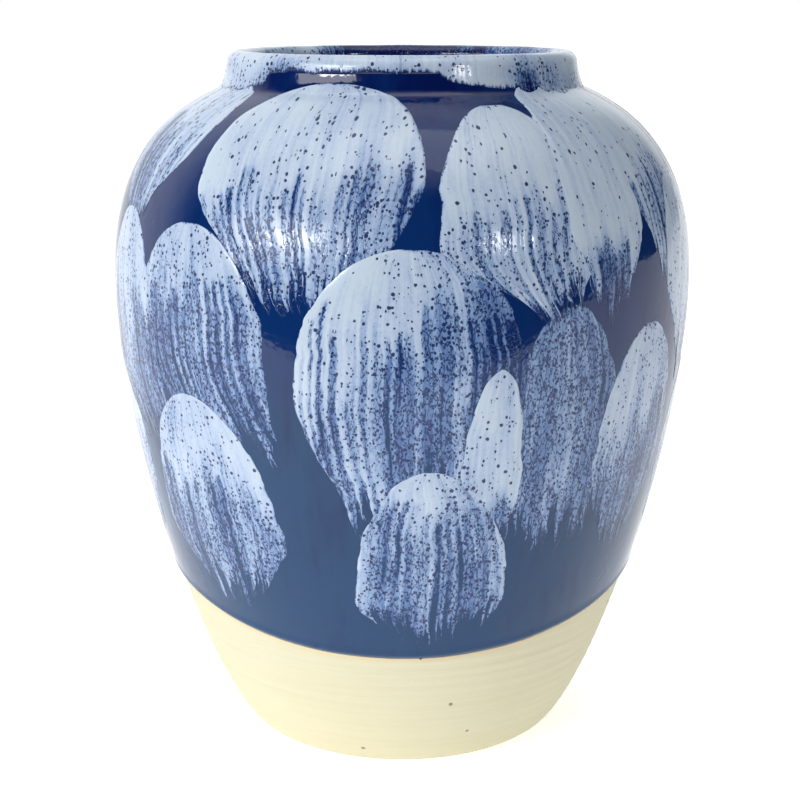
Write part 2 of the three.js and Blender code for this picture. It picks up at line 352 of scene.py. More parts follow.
class Shader(Nodes):
    """A material's node tree."""

    def __init__(self, name):
        self.material = bpy.data.materials.new(name)
        super().__init__(self.material)

    def mix(self, share, a, b, mode="MIX"):
        made = self.tree.nodes.new("ShaderNodeMix")
        made.data_type, made.blend_type = "RGBA", mode
        self.set(made, "0", share)
        for i, value in ((6, a), (7, b)):
            value = (*value, 1.0) if isinstance(value, tuple) and len(value) == 3 else value
            self.set(made, str(i), value)
        return made.outputs[2]

    def colours(self, value, stops):
        """The colour at a value between stops of (value, colour)."""
        made = self.tree.nodes.new("ShaderNodeValToRGB")
        elements = made.color_ramp.elements
        while len(elements) < len(stops):
            elements.new(0.5)
        for element, (position, colour) in zip(elements, stops):
            element.position, element.color = position, (*colour, 1.0)
        self.set(made, "0", value)
        return made.outputs[0]

    def attribute(self, name, out=2):
        """A field of the mesh: out 2 is a number, out 1 a vector."""
        return self.node("ShaderNodeAttribute", {"attribute_name": name}, out=out)

    def stretched(self, vector, scale):
        return self.node(
            "ShaderNodeMapping", {"vector_type": "POINT"}, Vector=vector, Scale=scale
        )

    def noise(self, vector, scale, detail=2.0, roughness=0.5, out=0):
        return self.node(
            "ShaderNodeTexNoise", out=out,
            Vector=vector, Scale=scale, Detail=detail, Roughness=roughness,
        )

    def varied(self, base, field, share, middle=0.5):
        """The base plus a share of a noise field, which is centred on its middle."""
        return self.math("MULTIPLY_ADD", self.math("SUBTRACT", field, middle), share, base)

    def cells(self, vector, scale, out):
        """Scattered points: out 0 is the distance to one, out 1 its own random colour."""
        return self.node(
            "ShaderNodeTexVoronoi", {"feature": "F1"}, out=out, Vector=vector, Scale=scale
        )

    def millimetres(self):
        """The object's own coordinates in millimetres."""
        place = self.node("ShaderNodeTexCoord", out=3)
        return self.stretched(place, (1 / MM, 1 / MM, 1 / MM))

    def finish(self, colour, roughness, height=None, depth=0.0, **sockets):
        """The glossy or matt surface, with a height field in millimetres as its bump."""
        surface = self.node("ShaderNodeBsdfPrincipled", out=None)
        self.set(surface, "Base Color", colour)
        self.set(surface, "Roughness", roughness)
        for key, value in sockets.items():
            self.set(surface, key.replace("_", " "), value)
        if height is not None:
            bump = self.node(
                "ShaderNodeBump", Height=height, Strength=1.0, Distance=depth * MM
            )
            self.set(surface, "Normal", bump)
        self.node("ShaderNodeOutputMaterial", Surface=surface.outputs[0], out=None)
        return self.material


# ---------------------------------------------------------------- materials

COBALT_DEEP = (0.0005, 0.007, 0.078)
COBALT_MIDDLE = (0.002, 0.023, 0.118)
# Lower wall: cobalt lightened and greened by a painted reflection of the pale floor.
COBALT_LOW_PAINTED_REFLECTION = (0.002, 0.042, 0.128)
COBALT_EDGE = (0.020, 0.045, 0.080)
SPECK_BLUE = (0.004, 0.017, 0.095)
# White glaze over cobalt: (thickness, colour).
GLAZE_STEPS = [
    (0.04, (0.010, 0.045, 0.175)),
    (0.15, (0.080, 0.150, 0.345)),
    (0.30, (0.140, 0.237, 0.455)),
    (0.50, (0.262, 0.372, 0.585)),
    (0.74, (0.418, 0.512, 0.680)),
    (0.96, (0.520, 0.618, 0.730)),
]
# The glaze inside: (paleness, colour).
LINER_STEPS = [
    (0.25, (0.004, 0.020, 0.100)),
    (0.45, (0.035, 0.080, 0.160)),
    (0.62, (0.300, 0.370, 0.370)),
    (0.85, (0.480, 0.550, 0.540)),
]
LINER_DAB = (0.050, 0.085, 0.095)
CLAY_COLOURS = (0.660, 0.622, 0.425), (0.705, 0.670, 0.500)
CLAY_TURNED = (0.62, 0.55, 0.38)
CLAY_GRAIN = (0.55, 0.50, 0.36)
CLAY_FLASHED = (0.780, 0.560, 0.310)
CLAY_IRON = (0.14, 0.10, 0.06)
SURFACE_IOR = 1.45
SPECK_STRENGTH = 0.94
# Specks: cells per mm, radius in cells, the glaze's thickness where they are commonest and
# where the last one is, the greatest share of cells with one, and how narrow they are drawn.
SPECKS = [
    (0.56, 0.235, 0.46, 1.17, 0.95, 1.0),
    (0.88, 0.285, 0.42, 0.98, 0.95, 1.1),
    (1.20, 0.290, 0.36, 0.78, 0.85, 1.3),
]
NECK_PAINTED_SHADE_FADE = (172.0, 182.0)  # heights over which the runs give way to the darker neck, a painted shade for the dark room that the glossy neck reflects
FLOOR_REFLECTION_FADE = (100.0, 124.0)  # heights over which the lower wall's lighter, greener colour, a painted reflection of the pale floor, turns to the upper's


def cobalt_colour(shader, place):
    """The base glaze, a little streaked where it ran down, deepest on the neck by painted shade and
    lighter on the lower wall by a painted reflection of the floor.
    """
    height = shader.node("ShaderNodeSeparateXYZ", out=2, Vector=place)
    runs = shader.noise(shader.stretched(place, (0.09, 0.09, 0.012)), 1.0, 3.0, 0.6)
    fine_runs = shader.noise(shader.stretched(place, (0.30, 0.30, 0.016)), 1.0, 2.0, 0.6)
    clouds = shader.noise(place, 0.03, 2.0)
    grain = shader.noise(place, 1.4, 1.0)
    tone = shader.math("MULTIPLY_ADD", grain, 0.05, shader.math("MULTIPLY", runs, clouds))
    tone = shader.varied(tone, fine_runs, 0.45, middle=0.45)
    # painted shade: the tone is lifted below the neck, leaving the neck darker where it reflects
    # the dark room
    tone = shader.math("ADD", tone, shader.ramp(height, *NECK_PAINTED_SHADE_FADE, 0.30, 0.0))
    # painted reflection: the lower wall lighter and greener where it faces the pale floor
    wall = shader.mix(shader.ramp(height, *FLOOR_REFLECTION_FADE), COBALT_LOW_PAINTED_REFLECTION, COBALT_MIDDLE)
    return shader.mix(shader.ramp(tone, 0.22, 0.62), COBALT_DEEP, wall)


def cobalt_material():
    """The dipped glaze. "edge" is the distance above its lower edge, in millimetres."""
    shader = Shader("cobalt_glaze")
    place = shader.millimetres()
    colour = cobalt_colour(shader, place)
    at_edge = shader.ramp(shader.attribute("edge"), 0.0, 1.2, 0.7, 0.0)
    colour = shader.mix(at_edge, colour, COBALT_EDGE)
    orange_peel = shader.noise(place, 0.35, 2.0)
    pits = shader.ramp(shader.cells(place, 0.09, 0), 0.02, 0.035)
    height = shader.math("MULTIPLY_ADD", pits, 0.5, orange_peel)
    rough = shader.ramp(shader.noise(place, 0.12), 0.3, 0.7, 0.05, 0.10)
    return shader.finish(colour, rough, height, 0.05, IOR=SURFACE_IOR)


def brushed_material(name):
    """White glaze over cobalt: it breaks into blue specks, worms and streaks where it thins.

    The attribute "glaze" is its thickness from 0 to 1. "brush" is the place in the stroke,
    across and along in millimetres, with the stroke's own seed. "flow" numbers the bristles
    in millimetres. "hold" falls from 1 to 0 where the brush lifts off.
    """
    shader = Shader(name)
    place = shader.millimetres()
    brush = shader.attribute("brush", out=1)
    glaze = shader.attribute("glaze")
    split = shader.node("ShaderNodeSeparateXYZ", Vector=brush).node
    bristle = shader.node(
        "ShaderNodeCombineXYZ", X=shader.attribute("flow"), Y=split.outputs[1], Z=split.outputs[2]
    )

    def lines(across, along, detail=1.0):
        """Noise that follows the bristles, with these many lumps a millimetre each way."""
        scale = (across, along, 1.0)
        return shader.noise(shader.stretched(bristle, scale), 1.0, detail, 0.6)

    pools = shader.noise(shader.stretched(brush, (0.20, 0.07, 1.0)), 1.0, 3.0, 0.6)
    thick = shader.varied(glaze, pools, 0.34)
    thick = shader.varied(thick, shader.noise(brush, 1.05, 2.0, 0.65), 0.32)
    thick = shader.varied(thick, lines(0.95, 0.030), 0.58)
    lifted = shader.math("SUBTRACT", 1.0, shader.attribute("hold"))
    between = shader.math("MULTIPLY_ADD", lifted, 0.20, lines(1.25, 0.028, 2.0))
    strands = shader.math("MULTIPLY", shader.ramp(between, 0.50, 0.66), lifted)
    thick = shader.math("MULTIPLY_ADD", strands, -1.10, thick, clamp=True)
    ground = shader.colours(thick, GLAZE_STEPS)
    wobble = shader.node(
        "ShaderNodeVectorMath", {"operation": "MULTIPLY_ADD"},
        **{"0": shader.noise(brush, 1.3, 1.0, out=1), "1": (0.30, 0.45, 0.0), "2": brush},
    )

    def specks(scale, radius, thin, dense, most, narrow):
        """Specks, rarer where the glaze is thick, and drawn out downwards if narrow."""
        spot = shader.stretched(wobble, (narrow, 1.0 / narrow, 1.0))
        distance = shader.cells(spot, scale, 0)
        lot = shader.node("ShaderNodeSeparateColor", Color=shader.cells(spot, scale, 1)).node
        share = shader.ramp(thick, thin, dense, most, 0.0)
        chosen = shader.math("LESS_THAN", lot.outputs[0], share)
        reach = shader.math("MULTIPLY_ADD", lot.outputs[1], radius * 0.7, radius * 0.65)
        inside = shader.math("SUBTRACT", reach, distance)
        return shader.math("MULTIPLY", shader.ramp(inside, -0.02, 0.07), chosen)

    wander = shader.noise(shader.stretched(brush, (0.95, 0.42, 1.0)), 1.0, 1.0, 0.4)
    away = shader.math("ABSOLUTE", shader.math("SUBTRACT", wander, 0.5))
    marks = shader.math(  # worms, where the noise crosses its middle
        "MULTIPLY",
        shader.ramp(away, 0.015, 0.070, 0.88, 0.0),
        shader.ramp(thick, 0.36, 0.66, 1.0, 0.0),
    )
    for kind in SPECKS:
        marks = shader.math("MAXIMUM", marks, specks(*kind))
    colour = shader.mix(shader.math("MULTIPLY", marks, SPECK_STRENGTH), ground, SPECK_BLUE)
    bare = shader.ramp(thick, 0.02, 0.14, 1.0, 0.0)
    colour = shader.mix(bare, colour, cobalt_colour(shader, place))
    height = shader.math("MULTIPLY_ADD", marks, -0.5, thick)
    rough = shader.ramp(thick, 0.1, 0.8, 0.08, 0.17)
    return shader.finish(colour, rough, height, 0.09, IOR=SURFACE_IOR)


def liner_material():
    """The glaze poured inside: pale grey-green where "pale" is near 1, running into cobalt."""
    shader = Shader("liner_glaze")
    place = shader.millimetres()
    cloud = shader.noise(shader.stretched(place, (0.07, 0.07, 0.03)), 1.0, 3.0, 0.6)
    ground = shader.colours(shader.varied(shader.attribute("pale"), cloud, 0.9), LINER_STEPS)
    dabs = shader.noise(place, 0.22, 2.0, 0.6)
    colour = shader.mix(shader.ramp(dabs, 0.60, 0.70), ground, LINER_DAB)
    rings = shader.noise(shader.stretched(place, (0.02, 0.02, 0.5)), 1.0, 2.0)
    return shader.finish(colour, 0.12, rings, 0.12, IOR=SURFACE_IOR)


def clay_material():
    """Bare clay, flashed warm under the glaze line. "edge" is the distance below that line."""
    shader = Shader("bare_stoneware")
    place = shader.millimetres()
    cloud = shader.noise(place, 0.02, 3.0)
    grain = shader.noise(place, 2.6, 3.0, 0.7)
    turning = shader.noise(shader.stretched(place, (0.015, 0.015, 0.75)), 1.0, 3.0, 0.6)
    colour = shader.mix(cloud, *CLAY_COLOURS)
    colour = shader.mix(shader.ramp(turning, 0.35, 0.75, 0.0, 0.25), colour, CLAY_TURNED)
    colour = shader.mix(shader.ramp(grain, 0.45, 0.75, 0.0, 0.18), colour, CLAY_GRAIN)
    flash = shader.ramp(shader.attribute("edge"), 0.3, 2.6, 0.45, 0.0)
    colour = shader.mix(flash, colour, CLAY_FLASHED)
    iron = shader.ramp(shader.cells(place, 0.075, 0), 0.035, 0.055, 1.0, 0.0)
    colour = shader.mix(shader.math("MULTIPLY", iron, 0.75), colour, CLAY_IRON)
    height = shader.math("MULTIPLY_ADD", grain, 0.35, turning)
    rough = shader.ramp(grain, 0.3, 0.7, 0.70, 0.88)
    return shader.finish(colour, rough, height, 0.14, IOR=SURFACE_IOR)


# ---------------------------------------------------------------- the clay body

COLUMNS = 400  # points round every turned piece
ROUND = np.linspace(0, 2 * math.pi, COLUMNS, endpoint=False)


CLAY_ROWS = 190
TRIM_DEPTH, TRIM_PITCH, TRIM_SEED = 0.12, 3.4, 7
TRIM_FADE = (60, 75)  # heights over which the trimming marks end, under the coat
CLAY_PROUD = 0.05
CLAY_FLOOR_RADII = [26, 18, 10, 1.5]
BASE_RADII = [1.5, 4, 9, 14, 19, 24, 29, 33.5]
FAR_FROM_EDGE = 99.0  # "edge" where the clay lies nowhere near the glaze line


def throwing_rings(run, depth, pitch, seed):
    """Ripple left by the fingers or the trimming tool, in a spiral up the wall."""
    turn = ROUND[None] / (2 * math.pi)
    lap = run[:, None] / pitch + turn
    wave = 0.5 - 0.5 * np.cos(2 * math.pi * lap)
    swell = 0.5 + ring_noise(ROUND[None], 5, seed, row=run[:, None] / 9)
    return depth * wave * swell


def floor_rings(radii, height):
    """Level rings that close the middle of a floor."""
    radii = np.asarray(radii, float)[:, None]
    return around(ROUND[None], radii, height)


def inner_line(depth):
    """The inside of the wall from under the lip to the floor's corner: (radius, height)."""
    inside = LINE - NORMAL * (WALL + depth)
    bottom = FLOOR_THICKNESS + depth
    side = inside[(inside[:, 1] > bottom + 9) & (LINE[:, 1] < HEIGHT - NECK_LENGTH)]
    side = side[np.concatenate([[True], np.diff(side[:, 1]) > 0])][::-1]
    lip_side = (NECK_RADIUS - LIP_WALL - depth, LIP_TOP)
    neck = bezier([lip_side, (lip_side[0], HEIGHT - NECK_LENGTH), side[0]], 16)
    corner = (side[-1, 0] - (side[-1, 1] - bottom) * 0.6, bottom)
    turn = bezier([side[-1], corner, (corner[0] - 9, bottom)], 24)
    return np.vstack([neck[:-1], side[::4], turn[1:]])


def build_clay(material):
    """The turned body, from the middle of its base round the lip to the middle of its floor."""
    heights = np.linspace(1.4, LIP_TOP, CLAY_ROWS)
    run = np.interp(heights, LINE[:, 1], run_along(LINE))
    trimmed = throwing_rings(run, TRIM_DEPTH, TRIM_PITCH, TRIM_SEED)
    fading = step(*TRIM_FADE, heights)[:, None]
    outer = on_wall(ROUND[None], heights[:, None], -trimmed * (1 - fading) + CLAY_PROUD)
    edge = glaze_line(ROUND)[None] - heights[:, None]
    foot_edge = bezier(
        [(RING_INNER + 5.4, 0), (FOOT_RADIUS + 0.2, 0), (FOOT_RADIUS + 0.9, 1.2)], 6
    )
    foot = around(ROUND[None], foot_edge[:, :1], foot_edge[:, 1:])
    under = bezier(
        [(RING_INNER + 0.8, 0), (RING_INNER, 0), (RING_INNER - 1.6, RING_DEPTH)], 6
    )[::-1]
    under = around(ROUND[None], under[:, :1], under[:, 1:])
    base = floor_rings(BASE_RADII, RING_DEPTH)
    lip = np.linspace(0, math.pi, 13)[1:-1, None]
    lip = around(
        ROUND[None],
        LIP_CENTRE + LIP_WALL / 2 * np.cos(lip),
        LIP_TOP + LIP_WALL / 2 * np.sin(lip),
    )
    inner = inner_line(0.0)
    inner = around(ROUND[None], inner[:, :1], inner[:, 1:])
    floor = floor_rings(CLAY_FLOOR_RADII, FLOOR_THICKNESS)
    rings = np.concatenate([base, under, foot, outer, lip, inner, floor])
    field = np.full(rings.shape[:2], FAR_FROM_EDGE)
    first = len(base) + len(under) + len(foot)
    field[first : first + len(outer)] = edge
    make_turned(
        "clay_body", rings, "stoneware_body", material,
        {"edge": field}, closed=False,
    )


# ---------------------------------------------------------------- the cobalt coat


COAT_ROWS, COAT_BACK_ROWS = 230, 30
COAT_START = 0.1  # how far out the coat begins at its lower edge
COAT_TOP = LIP_TOP - 1.2
BEAD_HEIGHT, BEAD_MIDDLE, BEAD_WIDTH = 0.22, 1.3, 1.1
RUN_HEIGHT = 0.03
COAT_BACK_EDGE = 9.0  # "edge" on the coat's hidden back


def build_coat(material):
    """The dipped base glaze: a rolled bead at its lower edge, thin and glassy above."""
    share = np.linspace(0, 1, COAT_ROWS)[:, None] ** 1.15  # rows lie closest at the edge
    line = glaze_line(ROUND)[None]
    heights = line + share * (COAT_TOP - line)
    above = heights - line
    bead = BEAD_HEIGHT * np.exp(-(((above - BEAD_MIDDLE) / BEAD_WIDTH) ** 2))
    body = (COAT - COAT_START) * np.sqrt(step(-0.6, 1.6, above))
    runs = RUN_HEIGHT * (ring_noise(ROUND[None], 60, 3, row=heights / 70) - 0.5)
    lift = COAT_START + body + bead + runs * step(2, 8, above)
    outer = on_wall(ROUND[None], heights, lift)
    back_heights = line + np.linspace(1, 0, COAT_BACK_ROWS)[:, None] * (COAT_TOP - line)
    back = on_wall(ROUND[None], back_heights, GLAZE_GAP)
    rings = np.concatenate([outer, back])
    field = np.concatenate([above, np.full(back.shape[:2], COAT_BACK_EDGE)])
    make_turned(
        "cobalt_coat", rings, "cobalt_glaze_coat", material, {"edge": field}
    )


# ---------------------------------------------------------------- the liner and the lip


def from_azimuth(azimuth, middle, half):
    """1 at an azimuth in degrees, falling to 0 this many degrees to either side."""
    turn = (np.degrees(azimuth) - middle + 180) % 360 - 180
    return np.clip(1 - (turn / half) ** 2, 0, 1)


LINER_GAP = 0.15  # between the clay and the back of the liner
LINER_THICKNESS = 0.55
LINER_FLOOR_THICKNESS = 0.5
FINGER_DEPTH, FINGER_PITCH, FINGER_SEED = 0.5, 7.5, 12
LINER_FLOOR_RADII = [24, 18, 12, 6, 1.5]
LINER_BACK_RADII = [1.5, 12, 24]
LINER_PALE = ((-120, 62, 0.95), (110, 50, 0.55), (0, 70, 0.8))  # azimuth, half width, paleness


def build_liner(material):
    """The poured glaze inside, with its hidden back, from the lip to the middle of the floor."""
    line = inner_line(LINER_GAP)
    line = line[line[:, 1] < LIP_TOP + 0.2]
    run = run_along(line)
    finger = throwing_rings(run, FINGER_DEPTH, FINGER_PITCH, FINGER_SEED)
    finger = finger * step(5, 20, run)[:, None]
    front = around(ROUND[None], line[:, :1] - LINER_THICKNESS - finger, line[:, 1:])
    front[-6:, :, 2] += np.linspace(0, LINER_FLOOR_THICKNESS, 6)[:, None]
    back = around(ROUND[None], line[::-3, :1], line[::-3, 1:])
    floor = floor_rings(LINER_FLOOR_RADII, line[-1, 1] + LINER_FLOOR_THICKNESS)
    floor_back = floor_rings(LINER_BACK_RADII, line[-1, 1])
    rings = np.concatenate([floor_back, back, front, floor])
    pale = sum(most * from_azimuth(ROUND, middle, half) ** 0.5 for middle, half, most in LINER_PALE)
    pale = np.broadcast_to(pale[None], rings.shape[:2])
    make_turned(
        "liner", rings, "liner_glaze", material, {"pale": pale}, closed=False
    )


SKIRT = 2.9  # how far the lip's white glaze comes down where nothing hangs lower
# Places where it hangs lower or lies thinner, as azimuth and half width in degrees with the
# drop in millimetres or the loss of thickness.
LIP_HANGS = (
    (28, 17, 4.4), (64, 27, 7.0), (-68, 24, 6.5), (131, 17, 3.0), (-145, 20, 3.6),
)
LIP_THIN = ((-4, 13, 0.50), (41, 5, 0.45), (-32, 20, 0.40), (170, 40, 0.35))
LIP_SKIRT_ROWS = 34
LIP_BACK = 0.1  # how far the band's hidden back lies inside the lip's round
LIP_BRUSH_SEED = 31.0


def lip_skirt(azimuth):
    """How far down the lip's white glaze comes on the outside, by azimuth."""
    skirt = SKIRT + 1.4 * (ring_noise(azimuth, 30, 51) - 0.5)
    skirt = skirt + 1.5 * (ring_noise(azimuth, 110, 52) - 0.5)
    for middle, half, drop in LIP_HANGS:
        skirt = skirt + drop * from_azimuth(azimuth, middle, half) ** 0.6
    return skirt


def build_lip(material):
    """The white glaze over the lip, with a ragged lower edge that hangs down in places."""
    skirt = lip_skirt(ROUND)[None]
    up = np.linspace(0, 1, LIP_SKIRT_ROWS)[:, None]
    low = LIP_TOP + 1.0 - skirt
    heights = low + up * (LIP_TOP - low)
    hem = step(0, 0.9, heights - low)
    side = on_wall(ROUND[None], heights, COAT - 0.15 + 0.30 * hem)
    turn = np.linspace(0, math.pi, 22)[1:, None]
    reach = LIP_WALL / 2 + blend(COAT + 0.15, 0.75, np.clip(turn / math.pi, 0, 1))
    wave = 0.14 * (ring_noise(ROUND[None], 30, 54, row=turn) - 0.5)
    over_z = LIP_TOP + np.minimum(reach + wave, HEIGHT - LIP_TOP) * np.sin(turn)
    over = around(ROUND[None], LIP_CENTRE + (reach + wave) * np.cos(turn), over_z)
    inside_drop = 0.5 + 1.6 * ring_noise(ROUND, 14, 53)[None] ** 2
    fall = np.linspace(0, 1, 8)[1:, None]
    inner_radius = LIP_CENTRE - LIP_WALL / 2 - 0.85 + 0.7 * step(0.5, 1.0, fall)
    inner = around(ROUND[None], inner_radius, LIP_TOP - fall * inside_drop)
    back_radius = LIP_CENTRE - LIP_WALL / 2 + LIP_BACK
    back = around(ROUND[None], back_radius, LIP_TOP - np.array([[1.0], [0.4]]) * inside_drop)
    under = np.linspace(math.pi, 0, 9)[:, None]
    hidden = around(
        ROUND[None],
        LIP_CENTRE + (LIP_WALL / 2 - LIP_BACK) * np.cos(under),
        LIP_TOP + (LIP_WALL / 2 - LIP_BACK) * np.sin(under),
    )
    hidden_side = on_wall(ROUND[None], heights[::-1][::8], GLAZE_GAP)
    rings = np.concatenate([side, over, inner, back, hidden, hidden_side])
    along = np.concatenate(  # distance up the outside and over the lip, from its shoulder
        [
            np.broadcast_to(heights - LIP_TOP, side.shape[:2]),
            np.broadcast_to(turn * 2.6, over.shape[:2]),
            np.broadcast_to(8.2 + fall * inside_drop, inner.shape[:2]),
            np.full((len(back) + len(hidden) + len(hidden_side), COLUMNS), 14.0),
        ]
    )
    across = np.broadcast_to(ROUND[None] * NECK_RADIUS, along.shape)
    thickness = 0.70 + 0.5 * (ring_noise(ROUND[None], 40, 55, row=along / 5) - 0.5)
    hem_share = blend(0.25, 1.0, 1 - step(-3.2, 0.4, along))
    for middle, half, loss in LIP_THIN:
        thickness = thickness - loss * from_azimuth(ROUND, middle, half)[None] * hem_share
    thickness = thickness + 0.15 * from_azimuth(ROUND, 25, 12)[None]
    inside = step(3.6, 5.0, along)
    bare = 0.85 * from_azimuth(ROUND, 178, 40) ** 0.5 + 0.45 * from_azimuth(ROUND, 128, 25)
    thickness = thickness - inside * bare[None]
    hold = np.ones(along.shape)
    hold[: len(side)] = step(-0.4, 2.2, heights - low)
    crest = np.exp(-(((along - 2.6) / 3.0) ** 2))
    thickness = thickness + 0.18 * crest
    brush = np.stack([across, -along, np.full(along.shape, LIP_BRUSH_SEED)], axis=-1)
    make_turned(
        "lip_band", rings, "lip_white_band", material,
        {"glaze": thickness, "brush": brush, "flow": across, "hold": hold},
    )


# ---------------------------------------------------------------- the brushed strokes


class Stroke:
    """One petal of white glaze, described as the CAD part describes it, and its own looks.

    azimuth is in degrees, drop is from the lip down to the petal's top, and lean moves its
    tail sideways. widest is a share of the length, as are onset and thin_from. white is added
    to the glaze's thickness and slant tips it to the right. streaks is how deep the bristle
    gaps are and onset where they start. The glaze thins by thin beyond thin_from.
    """

    def __init__(
        self, name, azimuth, drop, length, left, right, tail, lean, widest,
        white=0.0, slant=0.0, streaks=1.0, onset=0.28, thin_from=0.45, thin=0.10,
    ):
        self.name, self.azimuth, self.top = name, math.radians(azimuth), HEIGHT - drop
        self.length, self.left, self.right = length, left, right
        self.tail, self.lean, self.widest = tail, lean, widest
        self.white, self.slant, self.streaks, self.onset = white, slant, streaks, onset
        self.thin_from, self.thin = thin_from, thin

    def covers(self, azimuth, height):
        """1 inside the petal at these places on the wall, easing to 0 past its edge."""
        turn = azimuth - self.azimuth
        x, y = wall_radius(height) * np.sin(turn), self.top - height
        middle = self.length * self.widest
        cap = np.sqrt(np.clip(1 - (1 - np.clip(y / middle, 0, 1)) ** 2, 0, 1))
        late = step(0, 1, np.clip((y - middle) / (self.length - middle), 0, 1) ** 1.15)
        left_tail = blend(-self.left, self.lean - self.tail, late)
        right_tail = blend(self.right, self.lean + self.tail, late)
        left = np.where(y < middle, -self.left * cap, left_tail)
        right = np.where(y < middle, self.right * cap, right_tail)
        inward = np.minimum.reduce([x - left, right - x, y, self.length * 0.97 - y])
        return step(-1.2, 0.5, inward) * (np.cos(turn) > 0)


STROKE_SPACING = 0.5  # mesh size in millimetres
STROKE_SUNK = 0.30  # how far the back of a stroke lies under the front of the coat
LAYER_RISE = 0.11  # how much higher a stroke lies where it crosses another
BRISTLE_SHIFT, NOISE_SHIFT, BRUSH_SHIFT = 37.0, 5.3, 7.7  # part the strokes' random marks
TUFT = 3.0  # spacing of the main bristle gaps in millimetres
GLAZE_FULL = 0.84  # thickness of fresh white glaze
GLAZE_WORN = 0.30  # least thickness left between the bristle gaps
GAP_DEPTH = 0.66
FINE_GAP = 0.34  # depth of the narrow gaps beside the main ones
GLAZE_RANGE = (0.08, 1.05)


def stroke_outline(stroke, seed):
    """Grid of places in a stroke: share across, across and along in mm, and its edges."""
    middle = stroke.length * stroke.widest
    cap_rows = int(middle * 1.25 / STROKE_SPACING)
    tail_rows = int((stroke.length - middle) / STROKE_SPACING)
    columns = int((stroke.left + stroke.right) / STROKE_SPACING)
    u = np.linspace(-1, 1, columns)[None]
    bristle = u * (stroke.left + stroke.right) / 2 + seed * BRISTLE_SHIFT
    fingers = 0.5 * noise(bristle / 1.7, seed, 61) + 0.5 * noise(bristle / 5.5, seed, 62)
    round_end = 0.12 * stroke.length * np.abs(u) ** 2.5
    reach = stroke.length * 1.03 - round_end - 0.18 * stroke.length * (1 - fingers) ** 1.4
    cap_turn = np.linspace(0.09, math.pi / 2, cap_rows)[:, None]
    cap_y = middle * (1 - np.cos(cap_turn)) * np.ones_like(u)
    share = np.linspace(0, 1, tail_rows + 1)[1:, None]
    y = np.concatenate([cap_y, middle + share * (reach - middle)])
    narrowing = step(0, 1, share**1.15)

    def side(half, tail_x, seeds):
        line = np.concatenate([half * np.sin(cap_turn), blend(half, tail_x, narrowing)])
        down = y[:, :1]
        late = step(middle, stroke.length, down)
        rough = 1.1 * (noise(down / 4.3, seed, seeds) - 0.5)
        return line + rough + blend(0.3, 1.3, late) * (noise(down / 1.5, seed, seeds + 1) - 0.5)

    left_x = side(-stroke.left, stroke.lean - stroke.tail, 63)
    right_x = side(stroke.right, stroke.lean + stroke.tail, 73)
    x = blend(left_x, right_x, (u + 1) / 2)
    return u, x, y, (right_x - left_x) / 2, reach


def stroke_thickness(stroke, seed, u, x, y, half_width, reach, stack):
    """How thick the white glaze lies, the bristles' numbering and where the brush lifts."""
    v = y / stroke.length
    spread = (stroke.left + stroke.right) / 2
    middle_line = x - u * half_width
    flow = 0.55 * (x - middle_line) + 0.45 * u * spread + seed * BRISTLE_SHIFT
    own = seed * NOISE_SHIFT
    thickness = GLAZE_FULL + stroke.white + stroke.slant * u
    thickness = thickness + 0.24 * (noise(x / 10 + own, y / 26 + own, 65) - 0.5)
    thickness = thickness + 0.18 * (noise(x / 3.2 + own, y / 7, 71) - 0.5)
    late = v - stroke.slant * u + 0.36 * (noise(flow / 3.4, seed + 0.5, 64) - 0.5)
    worn = step(stroke.onset - 0.06, stroke.onset + 0.16, late)
    ridges = noise(flow / 3.6, y / 90 + own, 67) - 0.5
    thickness = thickness + (0.50 * ridges - 0.24) * worn
    thickness = thickness - stroke.thin * step(stroke.thin_from, stroke.thin_from + 0.15, late)
    rim = np.exp(-(((1 - np.abs(u)) * half_width / 1.8) ** 2))
    thickness = np.maximum(thickness, GLAZE_WORN) + 0.09 * rim * (1 - step(0.75, 0.95, v))
    phase = flow / TUFT + 1.9 * noise(flow / 7, y / 70 + own, 66)
    gap = np.floor(phase)
    own_start = noise(gap + 0.5, seed + 0.5, 68)
    start = stroke.onset + 0.34 * (own_start - 0.5)
    opened = step(start, start + 0.04, v)
    strong = step(0.28, 0.75, noise(gap + 0.5, seed + 7.5, 74))
    width = 0.17 + 0.16 * noise(phase, y / 12 + own, 75)
    line = 1 - step(width * 0.55, width * 1.25, np.abs(phase - gap - 0.5))
    narrow = 1 - step(0.20, 0.50, noise(flow / 0.8, y / 45 + own, 69))
    fade = blend(0.6, 1.0, noise(flow / 3.0, y / 16 + own, 72))
    gaps = np.maximum(line * strong, FINE_GAP * narrow) * opened * fade
    thickness = thickness - GAP_DEPTH * stroke.streaks * gaps
    to_end = np.maximum(reach - y, 0)
    strands = 0.4 + 0.9 * noise(flow / 1.2, y / 60 + 3, 70)
    hold = step(0, 1, to_end / (0.24 * stroke.length * strands + 0.6))
    border = np.minimum.reduce(
        [(1 - np.abs(u)) * half_width, y * 1.2 + 0.1, to_end * 0.8 + 0.05]
    )
    brim = blend(0.35, 1.0, step(0, 0.7 + 0.9 * noise(x / 2 + own, y / 2, 76), border))
    thickness = np.clip(thickness, *GLAZE_RANGE) * blend(brim, 1.0, np.clip(stack, 0, 1))
    return thickness, flow, hold, border


